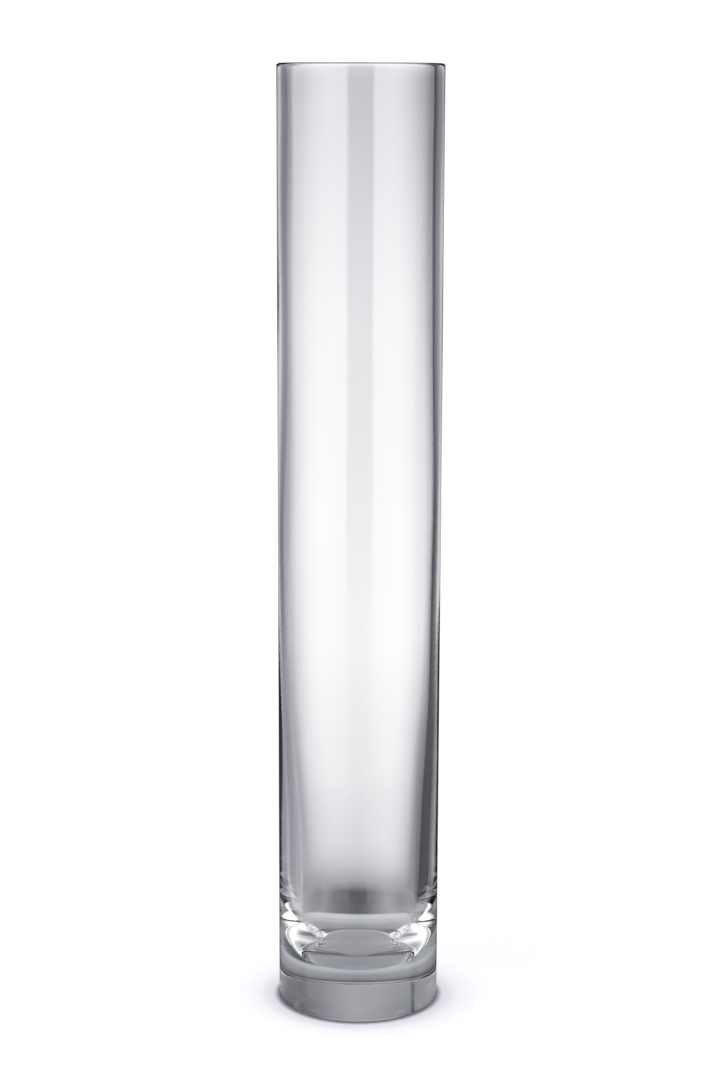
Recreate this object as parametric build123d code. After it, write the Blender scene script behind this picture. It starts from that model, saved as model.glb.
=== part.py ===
"""Tall clear-glass cylinder vase with a heavy solid base, in three stretches of one glass body.

Frame: +Z up, origin at the centre of the resting face, so the vase stands on Z = 0. Millimetres.
The outside is a plain cylinder. The cavity has a straight mouth, a bore that widens a little at
mid-height, a wall that thickens towards the foot, and a small flat floor inside a rounded flank,
on a thick solid base.
"""

import os
from math import cos, radians, sin

from build123d import *

# Driving dimensions: the outside
outer_diameter = 87.5  # nominal 3.5 in cylinder
overall_height = 508.0  # nominal 20 in cylinder
foot_edge_radius = 1.2  # softened edge round the ground and polished resting face

# Driving dimensions: the lip
lip_height = 8.0  # the fire-polished band at the top
lip_outer_radius = 1.6  # rounding of the lip's outer edge
lip_inner_radius = 2.0  # rounding of the lip's inner edge

# Driving dimensions: the mouth, a true cylinder that a liner, lid or frog fits
mouth_wall = 5.7  # wall thickness there
mouth_straight = 80.0  # length of the cylinder, the lip included

# Driving dimensions: the wall below the mouth, thinnest at mid-height and thick at the foot
waist_wall = 4.2  # the thinnest wall
waist_above_foot = 221.0  # height of that place above the foot of the wall
hip_wall = 5.7  # wall where it starts to thicken
hip_above_foot = 136.0  # height of that place above the foot of the wall
knee_wall = 9.4  # wall just above the cavity's rounded bottom
knee_above_foot = 41.0  # height of that place above the foot of the wall
foot_wall = 15.7  # wall at its foot, where the base begins

# Driving dimensions: the bottom of the cavity
base_thickness = 23.8  # solid glass under the flat floor
corner_radius = 2.0  # rounding between the floor and its flank
flank_radius = 60.0  # gentle curve of the flank between the floor and the foot of the wall
flank_start = 52.0  # steepness of the flank where it leaves the floor, in degrees from level
flank_end = 64.0  # steepness of the flank at the foot of the wall, in degrees from level

# Worked out from the values above
outer_radius = outer_diameter / 2
corner_run = corner_radius * sin(radians(flank_start))
corner_rise = corner_radius * (1 - cos(radians(flank_start)))
flank_run = flank_radius * (sin(radians(flank_end)) - sin(radians(flank_start)))
flank_rise = flank_radius * (cos(radians(flank_start)) - cos(radians(flank_end)))
foot_radius = outer_radius - foot_wall
foot_z = base_thickness + corner_rise + flank_rise
floor_radius = foot_radius - flank_run - corner_run
lip_z = overall_height - lip_height
mouth_z = overall_height - mouth_straight
mouth_radius = outer_radius - mouth_wall
lip_outer_edge = min(lip_outer_radius, mouth_wall / 2 - 0.2)
lip_inner_edge = min(lip_inner_radius, mouth_wall / 2 - 0.2)


def turned(lines):
    """A solid of revolution about Z from a closed outline of (radius, height) lines."""
    outline = make_face([Plane.XZ * line for line in lines])
    return revolve(outline, Axis.Z)


def base():
    """The solid foot of the vase, with the cavity's floor and the flank round it."""
    corner = JernArc((floor_radius, base_thickness), (1, 0), corner_radius, flank_start)
    flank = JernArc(corner @ 1, corner % 1, flank_radius, flank_end - flank_start)
    return turned(
        [
            Line((0, 0), (outer_radius - foot_edge_radius, 0)),
            JernArc((outer_radius - foot_edge_radius, 0), (1, 0), foot_edge_radius, 90),
            Line((outer_radius, foot_edge_radius), (outer_radius, foot_z)),
            Line((outer_radius, foot_z), (foot_radius, foot_z)),
            flank,
            corner,
            Line((floor_radius, base_thickness), (0, base_thickness)),
            Line((0, base_thickness), (0, 0)),
        ]
    )


def wall():
    """The body of the vase, from the foot of the wall to the lip."""
    bore = Spline(
        (foot_radius, foot_z),
        (outer_radius - knee_wall, foot_z + knee_above_foot),
        (outer_radius - hip_wall, foot_z + hip_above_foot),
        (outer_radius - waist_wall, foot_z + waist_above_foot),
        (mouth_radius, mouth_z),
        tangents=[(cos(radians(flank_end)), sin(radians(flank_end))), (0, 1)],
    )
    return turned(
        [
            bore,
            Line((mouth_radius, mouth_z), (mouth_radius, lip_z)),
            Line((mouth_radius, lip_z), (outer_radius, lip_z)),
            Line((outer_radius, lip_z), (outer_radius, foot_z)),
            Line((outer_radius, foot_z), (foot_radius, foot_z)),
        ]
    )


def lip():
    """The fire-polished band at the top, with both edges rounded."""
    inner_start = mouth_radius + lip_inner_edge
    outer_start = outer_radius - lip_outer_edge
    return turned(
        [
            Line((mouth_radius, lip_z), (mouth_radius, overall_height - lip_inner_edge)),
            JernArc((mouth_radius, overall_height - lip_inner_edge), (0, 1), lip_inner_edge, -90),
            Line((inner_start, overall_height), (outer_start, overall_height)),
            JernArc((outer_start, overall_height), (1, 0), lip_outer_edge, -90),
            Line((outer_radius, overall_height - lip_outer_edge), (outer_radius, lip_z)),
            Line((outer_radius, lip_z), (mouth_radius, lip_z)),
        ]
    )


os.makedirs("parts", exist_ok=True)
for name, make in (("vase_base", base), ("vase_wall", wall), ("vase_lip", lip)):
    export_step(make(), f"parts/{name}.step")
print(f"mouth radius {mouth_radius:.2f}, floor radius {floor_radius:.2f}")
print(f"foot radius {foot_radius:.2f}, foot height {foot_z:.2f}")
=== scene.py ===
"""A tall clear-glass cylinder vase in a plain studio: one turned glass body, its light and its camera."""

import math

import bmesh
import bpy
import numpy as np
from mathutils import Matrix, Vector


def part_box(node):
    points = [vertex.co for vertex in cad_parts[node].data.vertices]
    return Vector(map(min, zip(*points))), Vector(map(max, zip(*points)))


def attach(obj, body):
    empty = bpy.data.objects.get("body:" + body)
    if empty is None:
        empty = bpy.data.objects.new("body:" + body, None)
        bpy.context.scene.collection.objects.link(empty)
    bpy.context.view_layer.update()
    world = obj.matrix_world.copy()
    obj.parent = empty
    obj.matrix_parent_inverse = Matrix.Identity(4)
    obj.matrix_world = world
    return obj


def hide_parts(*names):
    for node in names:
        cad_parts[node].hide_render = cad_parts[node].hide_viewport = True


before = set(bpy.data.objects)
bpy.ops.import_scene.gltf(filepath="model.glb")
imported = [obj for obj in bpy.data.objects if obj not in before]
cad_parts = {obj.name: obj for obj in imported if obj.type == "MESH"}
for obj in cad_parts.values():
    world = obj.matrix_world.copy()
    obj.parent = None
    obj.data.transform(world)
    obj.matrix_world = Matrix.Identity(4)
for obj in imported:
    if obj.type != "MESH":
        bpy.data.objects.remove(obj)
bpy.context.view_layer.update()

# The frame: the vase stands on Z = 0 round the Z axis
BASE_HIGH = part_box("vase_base")[1]
WALL_LOW, WALL_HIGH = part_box("vase_wall")
LIP_LOW, LIP_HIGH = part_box("vase_lip")
OUTER_RADIUS = BASE_HIGH.x
TOP = LIP_HIGH.z

# Edges of the outside, as on the CAD body
FOOT_EDGE = 0.0012
LIP_EDGE = 0.0016

# Mesh fineness: steps round the vase, up the bore, up the outside and, closer together, up the foot,
# with the heights where the foot's steps end and the outside's begin
AROUND = 288
BORE_STEP = 0.0035
OUTSIDE_STEP = 0.012
FOOT_STEP = 0.004
FOOT_TOP = 0.040
OUTSIDE_START = 0.042
EDGE_POINTS = 9
# Rings on the underside and on the cavity's floor, as shares of their outer rings
UNDERSIDE_SHARES = (0.25, 0.5, 0.75, 0.88, 0.94)
FLOOR_SHARES = (0.2, 0.4, 0.6, 0.8, 0.92, 0.97)

# The inner surface of a CAD body lies inside this share of the outer radius
INNER_SHARE = 0.965
# The bends of the bore are evened out over a window that grows with the height above the wall's foot.
# Its weights follow a cosine that would reach zero a little past the window's ends.
WINDOW_GROWTH = 0.3
WINDOW_LEAST = 0.0002
WINDOW_MOST = 0.006
WINDOW_SAMPLES = 9
WINDOW_TAIL = 1.1
# Rings with heights closer than this are the same ring
SAME_RING = 0.0001

# Unevenness of the blown inside, in metres of radius: slow waves, and a fine ripple low in the bore
SWELL_DEPTH = 0.00010
RIPPLE_DEPTH = 0.000010
# Each slow wave: how often it repeats round the vase, its phase, its length up the vase, its share
SWELL_WAVES = (
    (1, 0.9, 0.46, 1.00),
    (2, 2.3, 0.31, 0.70),
    (3, 4.1, 0.23, 0.45),
    (5, 0.4, 0.17, 0.30),
    (7, 5.2, 0.12, 0.16),
)
RIPPLE_LENGTH = 0.0065
RIPPLE_WANDER = 1.3
RIPPLE_HEIGHT = 0.075
RIPPLE_SPREAD = 0.03
# The unevenness grows from the foot of the wall and is gone again at the rim
SWELL_START = 0.035
SWELL_GROWTH = 0.05
SWELL_END = 0.02

# Camera: a long lens in front of the vase, a little under its lip and tilted down; angles in radians
LENS = 76.95
CAMERA_DISTANCE = 27.836 * OUTER_RADIUS
CAMERA_BELOW_TOP = 0.3 * OUTER_RADIUS
CAMERA_PITCH = 0.19294
CAMERA_YAW = -0.00027
CAMERA_ROLL = 0.0032


# ---------------------------------------------------------------- the glass body
def cad_rings(node):
    """The distinct (height, radius) rings of a CAD node's inner surface, lowest first."""
    rings = {}
    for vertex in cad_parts[node].data.vertices:
        radius = math.hypot(vertex.co.x, vertex.co.y)
        if radius < OUTER_RADIUS * INNER_SHARE:
            rings[round(vertex.co.z, 5)] = radius
    return sorted(rings.items())


def smooth_through(points, height, window):
    """The radius at a height, on a curve through the points, evened out over a window."""
    known_z = np.array([z for z, r in points])
    known_r = np.array([r for z, r in points])
    offsets = np.linspace(-window, window, WINDOW_SAMPLES)
    weights = 1 + np.cos(np.pi * offsets / (window * WINDOW_TAIL))
    total = sum(w * np.interp(height + o, known_z, known_r) for w, o in zip(weights, offsets))
    return total / weights.sum()


def cavity_outline():
    """(radius, height) from the centre of the cavity's floor up its side to the lip's inner edge."""
    middle = BASE_HIGH.z / 2
    bottom = [(r, z) for z, r in cad_rings("vase_base") if z > middle]
    floor_radius, floor_z = min(bottom)
    outline = [(floor_radius * share, floor_z) for share in FLOOR_SHARES]
    outline += sorted(bottom, key=lambda point: point[1])
    wall = cad_rings("vase_wall")
    steps = int((WALL_HIGH.z - WALL_LOW.z) / BORE_STEP)
    heights = np.linspace(WALL_LOW.z, WALL_HIGH.z, steps)[1:]
    windows = np.clip((heights - WALL_LOW.z) * WINDOW_GROWTH, WINDOW_LEAST, WINDOW_MOST)
    radii = [smooth_through(wall, height, window) for height, window in zip(heights, windows)]
    outline += list(zip(radii, heights))
    lip = [(r, z) for z, r in cad_rings("vase_lip") if z > LIP_LOW.z + SAME_RING]
    mouth_radius = min(lip)[0]
    outline += [(r, z) for r, z in lip if r < (mouth_radius + OUTER_RADIUS) / 2]
    return outline


def arc(centre_radius, centre_z, size, start, end, count):
    """(radius, height) points on an arc in the outline's plane; angles in degrees from outward."""
    points = []
    for angle in np.radians(np.linspace(start, end, count)):
        points.append((centre_radius + size * math.cos(angle), centre_z + size * math.sin(angle)))
    return points


def outside_outline():
    """(radius, height) from the centre of the underside up the outside to the lip's outer edge."""
    outline = [(OUTER_RADIUS * share, 0.0) for share in UNDERSIDE_SHARES]
    outline += arc(OUTER_RADIUS - FOOT_EDGE, FOOT_EDGE, FOOT_EDGE, -90, 0, EDGE_POINTS)
    outline += [(OUTER_RADIUS, z) for z in np.arange(FOOT_STEP, FOOT_TOP, FOOT_STEP)]
    outline += [(OUTER_RADIUS, z) for z in np.arange(OUTSIDE_START, TOP - 2 * FOOT_STEP, OUTSIDE_STEP)]
    outline += [(OUTER_RADIUS, TOP - FOOT_STEP)]
    outline += arc(OUTER_RADIUS - LIP_EDGE, TOP - LIP_EDGE, LIP_EDGE, 0, 90, EDGE_POINTS)
    return outline


def swell(angle, z):
    """How far the blown inside stands out of round at an angle and height, in metres."""
    total = 0.0
    for order, phase, length, share in SWELL_WAVES:
        total += share * math.cos(order * angle + phase + 2 * math.pi * z / length)
    ripple = math.sin(2 * math.pi * z / RIPPLE_LENGTH + RIPPLE_WANDER * math.cos(angle))
    ripple *= math.exp(-((z - RIPPLE_HEIGHT) / RIPPLE_SPREAD) ** 2)
    rise = min(1.0, max(0.0, (z - SWELL_START) / SWELL_GROWTH))
    fall = min(1.0, max(0.0, (TOP - z) / SWELL_END))
    return rise * fall * (SWELL_DEPTH * total + RIPPLE_DEPTH * ripple)


def lathe(name, outline, cavity_from):
    """A closed turned mesh from an outline; its points from cavity_from on stand out of round."""
    mesh = bmesh.new()
    start = mesh.verts.new((0, 0, outline[0][1]))
    rings = []
    for index, (radius, z) in enumerate(outline):
        ring = []
        for step in range(AROUND):
            angle = 2 * math.pi * step / AROUND
            out = radius + (swell(angle, z) if index >= cavity_from else 0.0)
            ring.append(mesh.verts.new((out * math.cos(angle), out * math.sin(angle), z)))
        rings.append(ring)
    end = mesh.verts.new((0, 0, outline[-1][1]))
    for lower, upper in zip(rings, rings[1:]):
        for step in range(AROUND):
            after = (step + 1) % AROUND
            mesh.faces.new((lower[step], lower[after], upper[after], upper[step]))
    for step in range(AROUND):
        after = (step + 1) % AROUND
        mesh.faces.new((start, rings[0][after], rings[0][step]))
        mesh.faces.new((end, rings[-1][step], rings[-1][after]))
    for face in mesh.faces:
        face.smooth = True
    data = bpy.data.meshes.new(name)
    mesh.to_mesh(data)
    mesh.free()
    body = bpy.data.objects.new(name, data)
    bpy.context.scene.collection.objects.link(body)
    return body


# ---------------------------------------------------------------- node helpers
def link(tree, value, socket):
    """Feeds a socket from another socket, or sets it to a plain value."""
    if isinstance(value, bpy.types.NodeSocket):
        tree.links.new(value, socket)
    else:
        socket.default_value = value


def math_node(tree, operation, first, second=0.0, third=0.0):
    """The result of one arithmetic step on sockets or numbers."""
    node = tree.nodes.new("ShaderNodeMath")
    node.operation = operation
    for socket, value in zip(node.inputs, (first, second, third)):
        link(tree, value, socket)
    return node.outputs[0]


def ramp(tree, value, low, high, stops, full=1.0):
    """A level by a value between low and high, from (value, level) stops with levels up to full."""
    node = tree.nodes.new("ShaderNodeValToRGB")
    node.color_ramp.interpolation = "LINEAR"
    elements = node.color_ramp.elements
    while len(elements) < len(stops):
        elements.new(0.5)
    for element, (place, level) in zip(elements, stops):
        element.position = (place - low) / (high - low)
        element.color = (level / full, level / full, level / full, 1.0)
    spread = math_node(tree, "DIVIDE", math_node(tree, "SUBTRACT", value, low), high - low)
    tree.links.new(spread, node.inputs[0])
    return node.outputs[0]


def mix_shader(tree, share, first, second):
    """The second surface in place of the first, by a share."""
    node = tree.nodes.new("ShaderNodeMixShader")
    tree.links.new(share, node.inputs[0])
    tree.links.new(first, node.inputs[1])
    tree.links.new(second, node.inputs[2])
    return node.outputs[0]


# ---------------------------------------------------------------- materials
GLASS_IOR = 1.52
GLASS_TINT = (0.87, 0.925, 0.875, 1.0)
GLASS_DENSITY = 1.6

# The paper: its size, how pale it is, how much it glows by itself, and how far under the vase it lies
FLOOR_RADIUS = 0.75
FLOOR_SIDES = 96
FLOOR_ALBEDO = 0.80
FLOOR_GLOW = 0.69
FLOOR_DROP = 0.0003
# The paper by distance from the vase's axis: the painted soft shadow round the foot, the painted dark
# contact shadow where the two touch, the fade at its edge, and the painted shade on the paper near the vase,
# a grey level that it glows with when it is seen through the glass, with the edge of that part
SOFT_SHADE = ((0.044, 0.68), (0.050, 0.78), (0.056, 0.92), (0.072, 1.0))
PAINTED_CONTACT_SHADOW = ((0.0438, 0.90), (0.0445, 0.0))
PAPER_EDGE = ((FLOOR_RADIUS * 0.45, 1.0), (FLOOR_RADIUS * 0.98, 0.0))
# Painted shade near the vase, seen only through the glass: grey levels that the paper glows with, with a
# dark ring under the foot's edge
PAINTED_NEAR_SHADE = (
    (0.0400, 0.33), (0.0418, 0.04), (0.0490, 0.05), (0.0502, 0.28), (0.0570, 0.30), (0.0610, 0.48),
    (0.0700, 0.52),
)
PAINTED_NEAR_SHADE_EDGE = ((0.0662, 1.0), (0.0674, 0.0))
PAPER = (FLOOR_ALBEDO, FLOOR_ALBEDO, FLOOR_ALBEDO, 1.0)
# Painted shadow colours: a cool tint in the soft shade round the foot, and near-black in the contact shadow
PAPER_SHADE = (0.0, 0.0, 0.15, 1.0)
CONTACT_SHADOW_DARK = (0.02, 0.02, 0.02, 1.0)
# Cool colour of the painted shade that shows through the glass
PAINTED_NEAR_SHADE_TINT = (0.89, 0.905, 1.0, 1.0)


def clear_glass():
    """Polished soda-lime glass, with a faint green in its depth."""
    material = bpy.data.materials.new("clear_glass")
    material.use_nodes = True
    tree = material.node_tree
    shader = tree.nodes["Principled BSDF"]
    shader.inputs["Base Color"].default_value = (1.0, 1.0, 1.0, 1.0)
    shader.inputs["Transmission Weight"].default_value = 1.0
    shader.inputs["Roughness"].default_value = 0.0
    shader.inputs["IOR"].default_value = GLASS_IOR
    depth = tree.nodes.new("ShaderNodeVolumeAbsorption")
    depth.inputs["Color"].default_value = GLASS_TINT
    depth.inputs["Density"].default_value = GLASS_DENSITY
    tree.links.new(depth.outputs[0], tree.nodes["Material Output"].inputs["Volume"])
    return material


def by_distance(tree, distance, stops):
    """A level on the paper, by the distance from the vase's axis."""
    return ramp(tree, distance, 0.0, FLOOR_RADIUS, stops)


def paper_in_view(tree, distance):
    """The paper as the camera sees it: white, with a painted soft shadow and a painted dark contact shadow
    round the foot.
    """
    # Painted soft shadow: the paper's colour darkens towards the foot
    colour = tree.nodes.new("ShaderNodeMix")
    colour.data_type = "RGBA"
    tree.links.new(by_distance(tree, distance, SOFT_SHADE), colour.inputs["Factor"])
    colour.inputs["A"].default_value = PAPER_SHADE
    colour.inputs["B"].default_value = PAPER
    lit = tree.nodes.new("ShaderNodeBsdfDiffuse")
    tree.links.new(colour.outputs["Result"], lit.inputs["Color"])
    glow = tree.nodes.new("ShaderNodeEmission")
    tree.links.new(colour.outputs["Result"], glow.inputs["Color"])
    glow.inputs["Strength"].default_value = FLOOR_GLOW
    paper = tree.nodes.new("ShaderNodeAddShader")
    tree.links.new(lit.outputs[0], paper.inputs[0])
    tree.links.new(glow.outputs[0], paper.inputs[1])
    # Painted contact shadow: a near-black surface in a thin ring where the foot meets the paper
    dark = tree.nodes.new("ShaderNodeBsdfDiffuse")
    dark.inputs["Color"].default_value = CONTACT_SHADOW_DARK
    contact_shadow = by_distance(tree, distance, PAINTED_CONTACT_SHADOW)
    return mix_shader(tree, contact_shadow, paper.outputs[0], dark.outputs[0])


def painted_shade_through_glass(tree, distance):
    """Painted shade on the paper as it shows through the glass: a glowing grey level for each distance, dark
    under and near the foot.
    """
    # The painted shade glows by itself instead of being lit
    shade = tree.nodes.new("ShaderNodeEmission")
    shade.inputs["Color"].default_value = PAINTED_NEAR_SHADE_TINT
    tree.links.new(by_distance(tree, distance, PAINTED_NEAR_SHADE), shade.inputs["Strength"])
    return shade.outputs[0]


def pale_floor():
    """White paper that fades out at its edge; through the glass, only the part near the vase shows, as a
    glowing disc of painted shade.
    """
    material = bpy.data.materials.new("studio_paper")
    material.use_nodes = True
    tree = material.node_tree
    tree.nodes.remove(tree.nodes["Principled BSDF"])
    length = tree.nodes.new("ShaderNodeVectorMath")
    length.operation = "LENGTH"
    tree.links.new(tree.nodes.new("ShaderNodeNewGeometry").outputs["Position"], length.inputs[0])
    distance = length.outputs["Value"]

    in_view = paper_in_view(tree, distance)
    near_shade = painted_shade_through_glass(tree, distance)
    outer_fade = by_distance(tree, distance, PAPER_EDGE)
    inner_fade = by_distance(tree, distance, PAINTED_NEAR_SHADE_EDGE)
    # The camera sees the paper with its painted shadows, and other rays see the painted shade near the vase
    seen = tree.nodes.new("ShaderNodeLightPath").outputs["Is Camera Ray"]
    face = mix_shader(tree, seen, near_shade, in_view)
    wider = math_node(tree, "SUBTRACT", outer_fade, inner_fade)
    fade = math_node(tree, "MULTIPLY_ADD", wider, seen, inner_fade)
    clear = tree.nodes.new("ShaderNodeBsdfTransparent")
    sheet = mix_shader(tree, fade, clear.outputs[0], face)
    tree.links.new(sheet, tree.nodes["Material Output"].inputs["Surface"])
    return material


# ---------------------------------------------------------------- the studio
# Dim light is cool and bright light is neutral; the camera itself sees white paper behind the vase
COOL = (0.83, 0.855, 1.0, 1.0)
NEUTRAL = (0.998, 0.998, 1.0, 1.0)
PAPER_WHITE = (1.05, 1.05, 1.05, 1.0)

# The light round the vase, in bands by elevation in degrees. Each is (azimuth, brightness) stops: azimuth 0
# is behind the vase and + is to its right. A bright sweep stands behind, and a softbox each side in front,
# with the camera in the gap between them. The bands below the horizon stand for the table, with a dark
# patch right behind the vase and another to its right.
BRIGHTEST = 2.0
LIGHT = (
    (-75, ((-180, 0.80), (0, 0.90), (180, 0.80))),
    (-50, ((-180, 0.40), (-135, 0.50), (-45, 0.60), (0, 0.60), (60, 0.45), (135, 0.50), (180, 0.40))),
    (-41, ((-180, 0.30), (-135, 0.45), (-75, 0.40), (-45, 0.60), (0, 0.60), (30, 0.55), (60, 0.40),
           (105, 0.45), (180, 0.30))),
    (-39.5, ((-180, 0.25), (-135, 0.50), (-75, 0.60), (-48, 0.60), (-34, 0.36), (-14, 0.25), (-7, 0.24),
             (-3.5, 0.07), (1, 0.06), (5, 0.28), (22, 0.24), (32, 0.52), (75, 0.55), (135, 0.50),
             (180, 0.25))),
    (-28, ((-180, 0.50), (-135, 0.95), (-75, 0.70), (-50, 0.42), (-36, 0.68), (-27, 0.28), (-16, 0.26),
           (-11, 0.18), (-7, 0.24), (-4, 0.08), (2, 0.06), (6, 0.30), (12, 0.23), (30, 0.21), (35, 0.05),
           (60, 0.03), (75, 0.55), (135, 1.10), (180, 0.50))),
    (-25, ((-180, 0.50), (-135, 0.90), (-105, 0.95), (-75, 0.60), (-50, 0.38), (-39, 0.36), (-31, 0.68),
           (-24, 0.34), (-16, 0.33), (-5, 0.38), (8, 0.42), (15, 0.31), (19, 0.20), (27, 0.20), (32, 0.05),
           (60, 0.03), (75, 0.45), (135, 1.05), (180, 0.50))),
    (-22.5, ((-180, 0.48), (-135, 0.80), (-105, 0.95), (-75, 0.50), (-50, 0.38), (-34, 0.34), (-25, 0.56),
             (-18, 0.46), (-10, 0.54), (0, 0.62), (8, 0.66), (13, 0.52), (18, 0.34), (26, 0.18), (30, 0.05),
             (60, 0.03), (75, 0.40), (105, 0.85), (135, 1.00), (180, 0.48))),
    (-19.5, ((-180, 0.45), (-140, 0.85), (-105, 0.95), (-75, 0.45), (-50, 0.38), (-32, 0.32), (-22, 0.45),
             (-12, 0.76), (-4, 0.88), (6, 0.90), (12, 0.76), (18, 0.42), (28, 0.12), (45, 0.06), (70, 0.45),
             (105, 0.90), (140, 0.95), (180, 0.45))),
    (-15, ((-180, 0.45), (-158, 0.70), (-125, 1.0), (-95, 0.65), (-70, 0.15), (-45, 0.40), (-28, 0.12),
           (-21, 0.60), (-12, 0.84), (-5, 0.97), (8, 1.0), (15, 0.92), (20, 0.68), (27, 0.12), (45, 0.06),
           (60, 0.38), (95, 0.90), (125, 1.05), (158, 0.85), (180, 0.45))),
    (-10, ((-180, 0.45), (-161.5, 0.45), (-159.5, 1.10), (-125, 1.25), (-95, 0.90), (-70, 0.40), (-42, 0.38),
           (-28, 0.12), (-20, 0.42), (-15, 0.77), (-9, 0.94), (8, 0.94), (17, 0.88), (23, 0.74), (29, 0.16),
           (45, 0.06), (60, 0.30), (95, 1.05), (125, 1.30), (159.5, 1.10), (161.5, 0.45), (180, 0.45))),
    (-5, ((-180, 0.45), (-161.5, 0.45), (-159.5, 1.40), (-115, 1.45), (-95, 1.10), (-57, 0.50), (-36, 0.20),
          (-28, 0.25), (-23, 0.48), (-18, 0.79), (-13, 0.88), (7, 0.86), (12, 0.78), (17, 0.62), (23, 0.32),
          (34, 0.28), (45, 0.06), (60, 0.45), (80, 0.80), (130, 1.45), (159.5, 1.40), (161.5, 0.45),
          (180, 0.45))),
    (0, ((-180, 0.42), (-161.5, 0.42), (-159.5, 1.70), (-135, 1.90), (-115, 1.85), (-95, 1.20), (-75, 0.60),
         (-45, 0.20), (-28, 0.16), (-22, 0.50), (-18, 0.71), (-8, 0.66), (7, 0.62), (12, 0.55), (18, 0.42),
         (24, 0.20), (34, 0.26), (45, 0.06), (65, 0.12), (85, 0.35), (115, 1.05), (135, 1.70),
         (159.5, 1.70), (161.5, 0.42), (180, 0.42))),
    (20, ((-180, 0.45), (-140, 1.20), (-110, 1.20), (-92, 0.35), (-78, 0.22), (-58, 0.28), (-40, 0.24),
          (-37.5, 0.24), (-35.2, 0.02), (-33, 0.25), (-18, 0.30), (-10, 0.35), (2, 0.39), (12, 0.32),
          (22, 0.21), (34, 0.15), (50, 0.09), (62, 0.08), (80, 0.15), (95, 0.35), (112, 1.10), (140, 1.20),
          (180, 0.50))),
    (32, ((-180, 0.60), (-140, 1.30), (-105, 1.10), (-75, 0.60), (-50, 0.40), (-24, 0.36), (0, 0.50),
          (16, 0.35), (34, 0.20), (60, 0.25), (105, 0.85), (140, 1.30), (180, 0.60))),
    (60, ((-180, 0.60), (-120, 0.85), (-60, 0.55), (0, 0.34), (40, 0.22), (75, 0.35), (120, 0.60),
          (180, 0.60))),
)
# Black cards by azimuth, to either side: they stand across the back and beside the vase, and only the
# glass's mirror reflections see them
CARDS_ROUND = ((0, 0.95), (22, 0.90), (36, 0.0), (78, 0.0), (86, 0.6), (94, 0.6), (102, 0.0))

# Bounces: long enough chains for thick glass, with fewer mirror bounces so that its edges stay dark
GLASS_BOUNCES = 32
MIRROR_BOUNCES = 12
CLEAR_BOUNCES = 16


def banded_light(tree, azimuth, elevation):
    """The brightness in a direction, blended between the bands above and below it."""
    level = ramp(tree, azimuth, -180, 180, LIGHT[0][1], BRIGHTEST)
    for (below, _), (above, stops) in zip(LIGHT, LIGHT[1:]):
        height = tree.nodes.new("ShaderNodeMapRange")
        tree.links.new(elevation, height.inputs["Value"])
        height.inputs["From Min"].default_value = below
        height.inputs["From Max"].default_value = above
        step = math_node(tree, "SUBTRACT", ramp(tree, azimuth, -180, 180, stops, BRIGHTEST), level)
        level = math_node(tree, "MULTIPLY_ADD", step, height.outputs["Result"], level)
    return math_node(tree, "MULTIPLY", level, BRIGHTEST)


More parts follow.
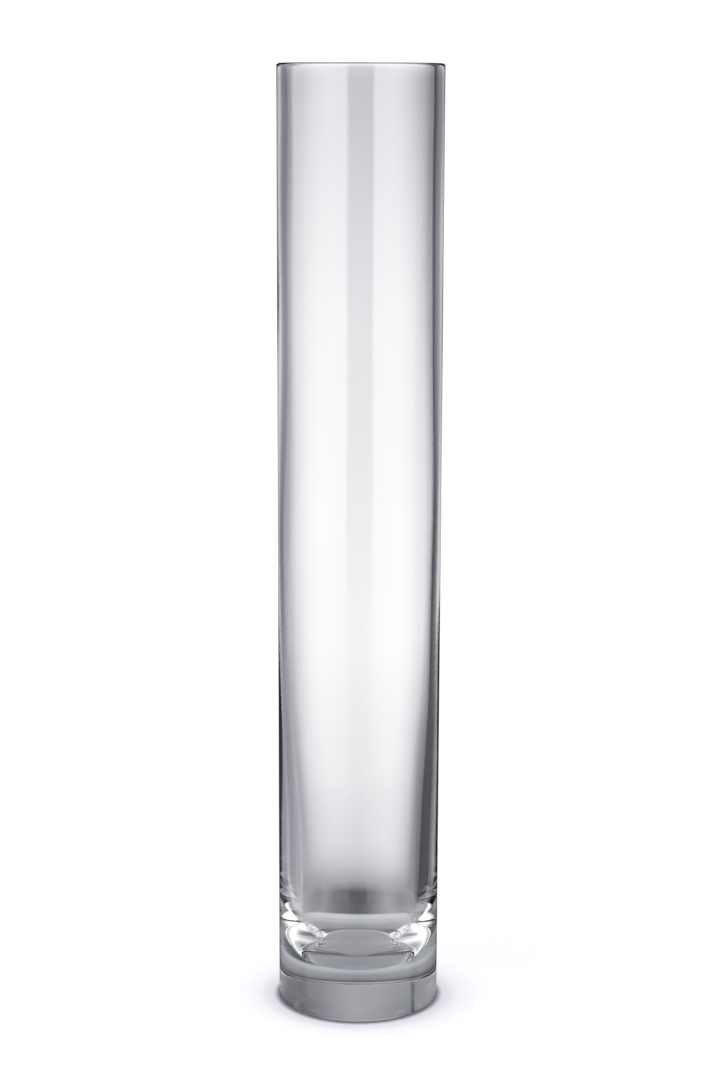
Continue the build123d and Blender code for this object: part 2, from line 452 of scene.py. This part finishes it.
def studio_world():
    """Soft light all round the vase, and plain white paper for the camera itself."""
    world = bpy.data.worlds.new("studio")
    bpy.context.scene.world = world
    world.use_nodes = True
    tree = world.node_tree
    direction = tree.nodes.new("ShaderNodeTexCoord").outputs["Generated"]
    split = tree.nodes.new("ShaderNodeSeparateXYZ")
    tree.links.new(direction, split.inputs[0])
    x, y, z = split.outputs
    azimuth = math_node(tree, "DEGREES", math_node(tree, "ARCTAN2", x, y))
    elevation = math_node(tree, "DEGREES", math_node(tree, "ARCSINE", z))
    light = banded_light(tree, azimuth, elevation)

    path = tree.nodes.new("ShaderNodeLightPath")
    singular = path.outputs["Is Singular Ray"]
    mirrored = math_node(tree, "MULTIPLY", singular, path.outputs["Is Reflection Ray"])
    cards = ramp(tree, math_node(tree, "ABSOLUTE", azimuth), 0, 180, CARDS_ROUND)
    uncovered = math_node(tree, "SUBTRACT", 1.0, math_node(tree, "MULTIPLY", mirrored, cards))
    hue = tree.nodes.new("ShaderNodeMix")
    hue.data_type = "RGBA"
    tree.links.new(light, hue.inputs["Factor"])
    hue.inputs["A"].default_value = COOL
    hue.inputs["B"].default_value = NEUTRAL
    tint = tree.nodes.new("ShaderNodeVectorMath")
    tint.operation = "SCALE"
    tree.links.new(hue.outputs["Result"], tint.inputs[0])
    tree.links.new(math_node(tree, "MULTIPLY", light, uncovered), tint.inputs["Scale"])
    choose = tree.nodes.new("ShaderNodeMix")
    choose.data_type = "RGBA"
    tree.links.new(path.outputs["Is Camera Ray"], choose.inputs["Factor"])
    tree.links.new(tint.outputs[0], choose.inputs["A"])
    choose.inputs["B"].default_value = PAPER_WHITE
    tree.links.new(choose.outputs["Result"], tree.nodes["Background"].inputs["Color"])


def studio_floor():
    """A round sheet of pale paper just under the vase."""
    mesh = bmesh.new()
    bmesh.ops.create_circle(mesh, cap_ends=True, segments=FLOOR_SIDES, radius=FLOOR_RADIUS)
    data = bpy.data.meshes.new("floor")
    mesh.to_mesh(data)
    mesh.free()
    floor = bpy.data.objects.new("floor", data)
    floor.location.z = -FLOOR_DROP
    bpy.context.scene.collection.objects.link(floor)
    data.materials.append(pale_floor())


def studio_camera():
    """The camera in front of the vase, looking slightly down at it."""
    lens = bpy.data.cameras.new("camera")
    lens.lens = LENS
    lens.sensor_width = 36.0
    lens.clip_start = 0.01
    camera = bpy.data.objects.new("camera", lens)
    turn = Matrix.Rotation(CAMERA_YAW, 4, "Z") @ Matrix.Rotation(math.pi / 2 - CAMERA_PITCH, 4, "X")
    turn = turn @ Matrix.Rotation(CAMERA_ROLL, 4, "Z")
    camera.matrix_world = Matrix.Translation((0, -CAMERA_DISTANCE, TOP - CAMERA_BELOW_TOP)) @ turn
    bpy.context.scene.collection.objects.link(camera)
    bpy.context.scene.camera = camera


def render_settings():
    """Enough bounces for clear glass, and colours shown as they are."""
    scene = bpy.context.scene
    scene.view_settings.view_transform = "Standard"
    scene.view_settings.look = "None"
    scene.cycles.max_bounces = GLASS_BOUNCES
    scene.cycles.transmission_bounces = GLASS_BOUNCES
    scene.cycles.glossy_bounces = MIRROR_BOUNCES
    scene.cycles.transparent_max_bounces = CLEAR_BOUNCES
    scene.cycles.sample_clamp_indirect = 0.0
    scene.cycles.blur_glossy = 0.0


outside = outside_outline()
cavity = cavity_outline()
vase = lathe("vase_glass", outside + cavity[::-1], len(outside))
vase.data.materials.append(clear_glass())
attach(vase, "root")
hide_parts("vase_base", "vase_wall", "vase_lip")

studio_world()
studio_floor()
studio_camera()
render_settings()
